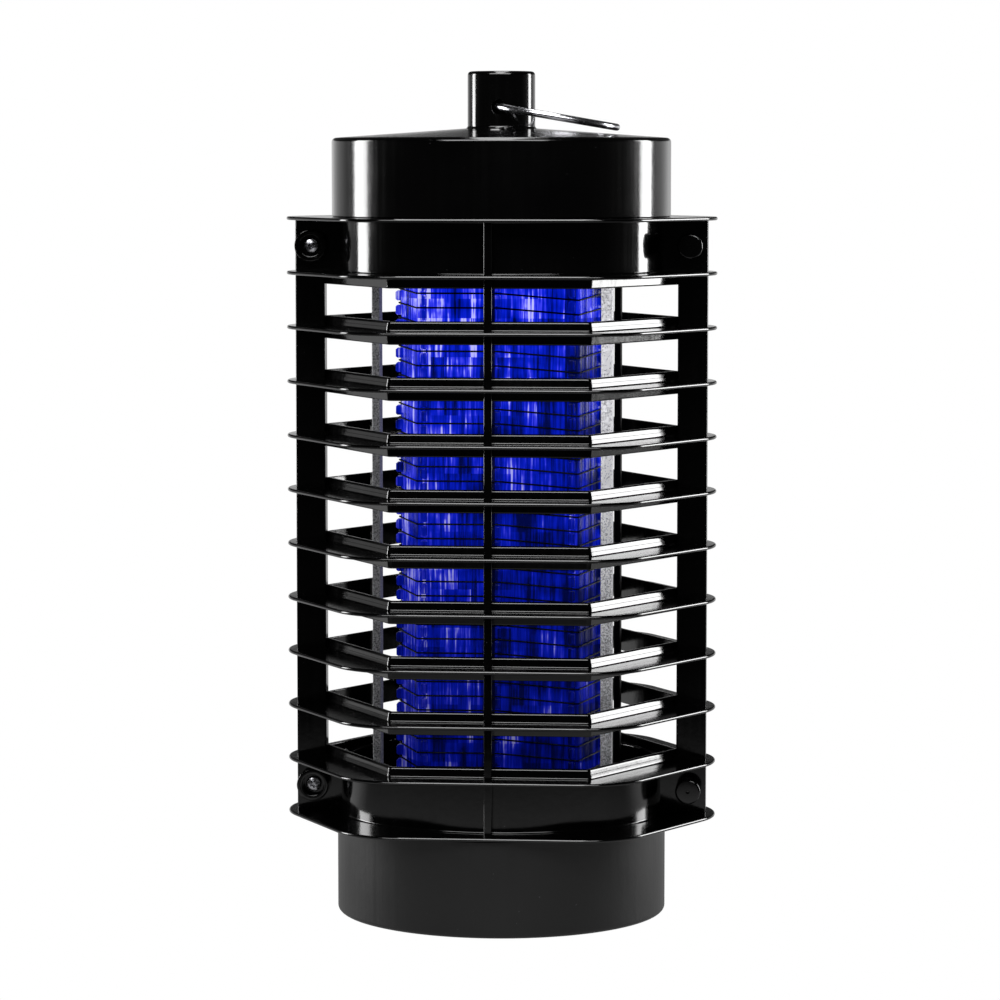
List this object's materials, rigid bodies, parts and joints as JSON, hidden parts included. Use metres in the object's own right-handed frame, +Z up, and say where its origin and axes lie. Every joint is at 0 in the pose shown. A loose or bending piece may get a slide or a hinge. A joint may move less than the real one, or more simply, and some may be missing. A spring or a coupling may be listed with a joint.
{
  "type": "electric bug zapper",
  "caption": "Hanging black insect zapper: louvred guard round a blue lit core wound with bare wires, round cover with hanging ring, pull-off tray.",
  "frame": {"origin": "centre of the tray's underside, on the surface it stands on", "axes": "+Z up along the body's axis, front towards -Y, +X to the right seen from the front"},
  "size_m": [0.123, 0.099, 0.24],
  "materials": {
    "cover_plastic": "high-gloss black moulding",
    "guard_plastic": "glossy black moulding",
    "tray_plastic": "satin black moulding",
    "frame_plastic": "fine spark-eroded texture, black",
    "post_plastic": "spark-eroded texture, black with grey specks",
    "blue_cover": "lit blue translucent moulding with fine flutes",
    "ring_steel": "bright drawn wire",
    "screw_steel": "nickel-plated",
    "grid_steel": "thin bare wire",
    "bush_rubber": "black rubber",
    "board_green": "solder-resist green",
    "board_white": "white solder resist",
    "lamp_yellow": "clear resin over phosphor",
    "coil_tape": "yellow insulating tape over a ferrite core",
    "film_red": "dipped film capacitor red",
    "diode_black": "moulded epoxy",
    "resistor_tan": "lacquered ceramic",
    "lead_red": "red insulated lead",
    "lead_yellow": "yellow insulated lead"
  },
  "bodies": {
    "housing": {"top_cover": "cover_plastic", "cord_grommet": "bush_rubber", "cover_screws": "screw_steel", "front_guard": "guard_plastic", "rear_guard": "guard_plastic", "guard_screws": "screw_steel", "upper_frame": "frame_plastic", "lower_frame": "frame_plastic", "tray_collar": "frame_plastic", "post_front_left": "post_plastic", "post_front_right": "post_plastic", "post_rear_left": "post_plastic", "post_rear_right": "post_plastic", "light_cover": "blue_cover", "led_board": "board_white", "leds": "lamp_yellow", "grid_wire_a": "grid_steel", "grid_wire_b": "grid_steel", "circuit_board": "board_green", "transformer": "coil_tape", "capacitors": "film_red", "diodes": "diode_black", "resistors": "resistor_tan", "grid_leads": "lead_red", "led_leads": "lead_yellow"},
    "ring": {"hanging_ring": "ring_steel"},
    "tray": {"collection_tray": "tray_plastic"}
  },
  "joints": [
    {"name": "ring_swing", "type": "hinge", "parent": "housing", "child": "ring", "pos_m": [0, 0, 0.2299], "axis": [0, -1, 0], "range_deg": [0, 199.6]},
    {"name": "tray_pull", "type": "slide", "parent": "housing", "child": "tray", "axis": [0, 0, -1], "range_m": [0, 0.03]}
  ]
}
